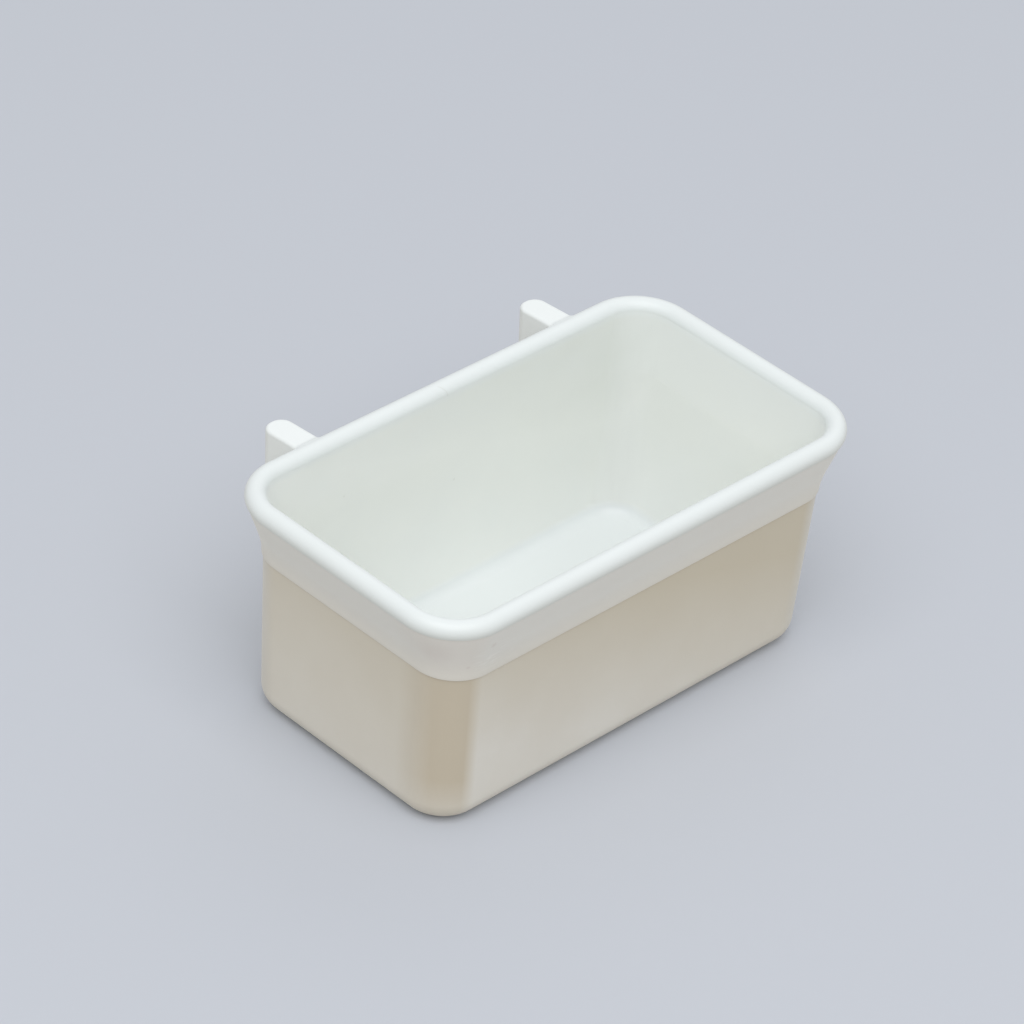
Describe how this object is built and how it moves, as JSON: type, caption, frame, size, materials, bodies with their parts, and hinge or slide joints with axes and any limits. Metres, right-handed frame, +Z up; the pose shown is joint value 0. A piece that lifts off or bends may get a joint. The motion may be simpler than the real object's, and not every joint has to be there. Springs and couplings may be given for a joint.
{
  "type": "seed cup",
  "caption": "Rectangular hook-on seed cup in white plastic: a drafted tub with a flared collar, a thick rolled lip and hooks at the back that hang it on a wire panel.",
  "frame": {"origin": "middle of the flat underside", "axes": "+X along the cup, +Y towards the back where the hooks are, +Z up out of the mouth"},
  "size_m": [0.0824, 0.0533, 0.037],
  "materials": {
    "wall_plastic": "satin white polypropylene, thin enough to look a little warm and milky",
    "rim_plastic": "satin white polypropylene, thick and opaque"
  },
  "bodies": {
    "root": {"base_pan": "wall_plastic", "tub_wall": "wall_plastic", "rim_collar": "wall_plastic", "rim_lip": "rim_plastic", "hook_arm_left": "rim_plastic", "hook_tongue_left": "rim_plastic", "hook_arm_right": "rim_plastic", "hook_tongue_right": "rim_plastic"}
  },
  "joints": []
}
